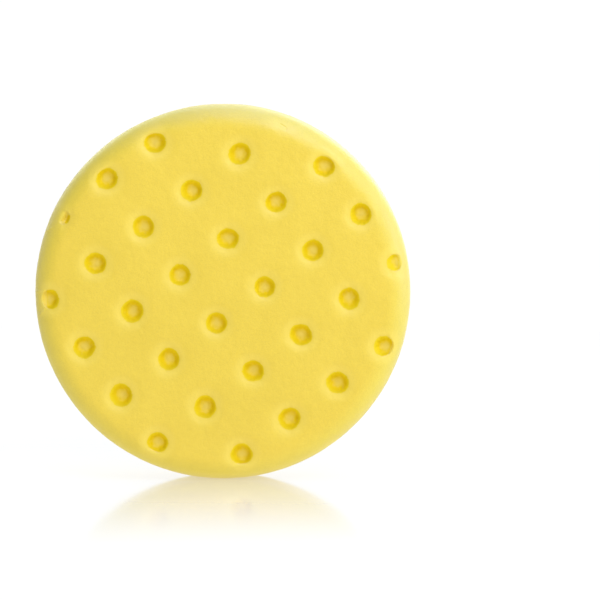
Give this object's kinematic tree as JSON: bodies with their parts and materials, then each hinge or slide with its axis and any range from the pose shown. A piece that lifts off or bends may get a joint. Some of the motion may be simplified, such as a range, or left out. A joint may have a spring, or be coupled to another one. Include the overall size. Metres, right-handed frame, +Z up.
{
  "type": "polishing pad",
  "caption": "Round foam polishing pad with a dimpled working face, rounded rim and a fuzzy loop-cloth back that grips a machine's hook backing plate.",
  "frame": {"origin": "centre of the loop face, where a machine's backing plate grips the pad", "axes": "+Y is the pad's axis, out of the loop face; the foam working face looks along -Y. +Z is up with the pad stood on its rim, and +X runs across it"},
  "size_m": [0.1396, 0.0318, 0.1396],
  "materials": {
    "yellow_foam": "matte",
    "clear_adhesive": "satin",
    "black_knit_cloth": "matte",
    "black_loop_pile": "matte"
  },
  "bodies": {
    "root": {"foam_disc": "yellow_foam", "adhesive_film": "clear_adhesive", "loop_ground_cloth": "black_knit_cloth", "loop_pile": "black_loop_pile"}
  },
  "joints": []
}
